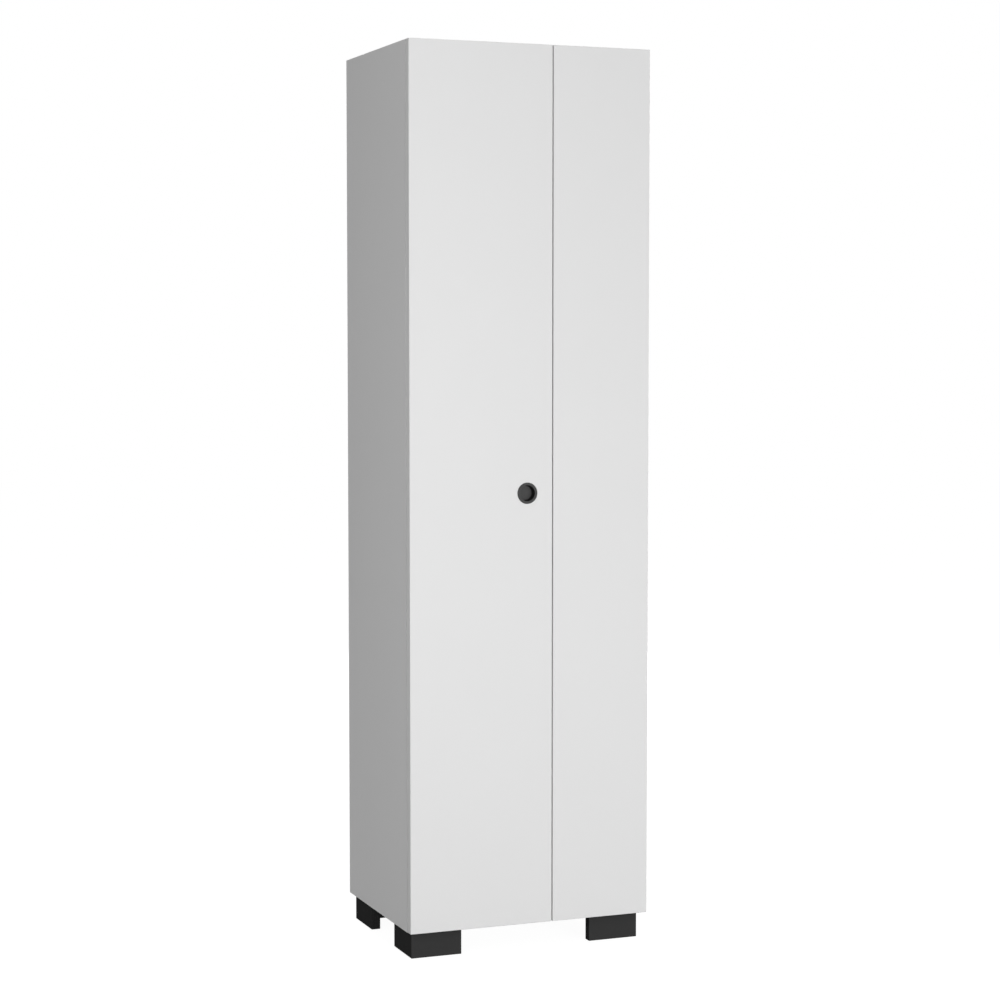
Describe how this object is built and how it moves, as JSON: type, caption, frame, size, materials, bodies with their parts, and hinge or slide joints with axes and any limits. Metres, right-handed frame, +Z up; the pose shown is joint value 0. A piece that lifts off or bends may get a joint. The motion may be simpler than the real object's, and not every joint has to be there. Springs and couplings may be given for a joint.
{
  "type": "tall bathroom cabinet",
  "caption": "Tall narrow floor-standing bathroom cabinet with full-height doors of unequal width, a round recessed finger pull, inner shelves and L-shaped corner feet.",
  "frame": {"origin": "on the floor, under the middle of the bounding box", "axes": "+Z up, the doors face -Y, +X to the right of someone who faces the doors"},
  "size_m": [0.482, 0.3716, 1.7015],
  "materials": {
    "white_board": "white melamine-faced board with white edge banding, satin",
    "back_board": "white lacquered hardboard, matt",
    "black_plastic": "black moulded ABS, fine satin",
    "nickel": "nickel-plated pressed steel",
    "bright_steel": "zinc-plated steel",
    "soft_pad": "clear soft polyurethane"
  },
  "bodies": {
    "carcass": {"back_panel": "back_board", "bottom_panel": "white_board", "foot_front_left": "black_plastic", "foot_front_right": "black_plastic", "foot_rear_left": "black_plastic", "foot_rear_right": "black_plastic", "hinge_arm_left_1": "nickel", "hinge_arm_left_2": "nickel", "hinge_arm_left_3": "nickel", "hinge_arm_right_1": "nickel", "hinge_arm_right_2": "nickel", "hinge_arm_right_3": "nickel", "hinge_plate_left_1": "nickel", "hinge_plate_left_2": "nickel", "hinge_plate_left_3": "nickel", "hinge_plate_right_1": "nickel", "hinge_plate_right_2": "nickel", "hinge_plate_right_3": "nickel", "shelf_1": "white_board", "shelf_2": "white_board", "shelf_3": "white_board", "shelf_fixed": "white_board", "shelf_pin_1_front_left": "bright_steel", "shelf_pin_1_front_right": "bright_steel", "shelf_pin_1_rear_left": "bright_steel", "shelf_pin_1_rear_right": "bright_steel", "shelf_pin_2_front_left": "bright_steel", "shelf_pin_2_front_right": "bright_steel", "shelf_pin_2_rear_left": "bright_steel", "shelf_pin_2_rear_right": "bright_steel", "shelf_pin_3_front_left": "bright_steel", "shelf_pin_3_front_right": "bright_steel", "shelf_pin_3_rear_left": "bright_steel", "shelf_pin_3_rear_right": "bright_steel", "side_left": "white_board", "side_right": "white_board", "top_panel": "white_board", "wall_bracket": "bright_steel"},
    "left_door": {"bumper_left_lower": "soft_pad", "bumper_left_upper": "soft_pad", "door_left": "white_board", "finger_pull": "black_plastic", "hinge_cup_left_1": "nickel", "hinge_cup_left_2": "nickel", "hinge_cup_left_3": "nickel", "hinge_pin_left_1": "bright_steel", "hinge_pin_left_2": "bright_steel", "hinge_pin_left_3": "bright_steel"},
    "right_door": {"bumper_right_lower": "soft_pad", "bumper_right_upper": "soft_pad", "door_right": "white_board", "hinge_cup_right_1": "nickel", "hinge_cup_right_2": "nickel", "hinge_cup_right_3": "nickel", "hinge_pin_right_1": "bright_steel", "hinge_pin_right_2": "bright_steel", "hinge_pin_right_3": "bright_steel"}
  },
  "joints": [
    {"name": "left_door_hinge", "type": "hinge", "parent": "carcass", "child": "left_door", "pos_m": [-0.23426, -0.17615, 0.8765], "axis": [0, 0, -1], "range_deg": [0, 95]},
    {"name": "right_door_hinge", "type": "hinge", "parent": "carcass", "child": "right_door", "pos_m": [0.23426, -0.17615, 0.8765], "axis": [0, 0, 1], "range_deg": [0, 95]}
  ]
}
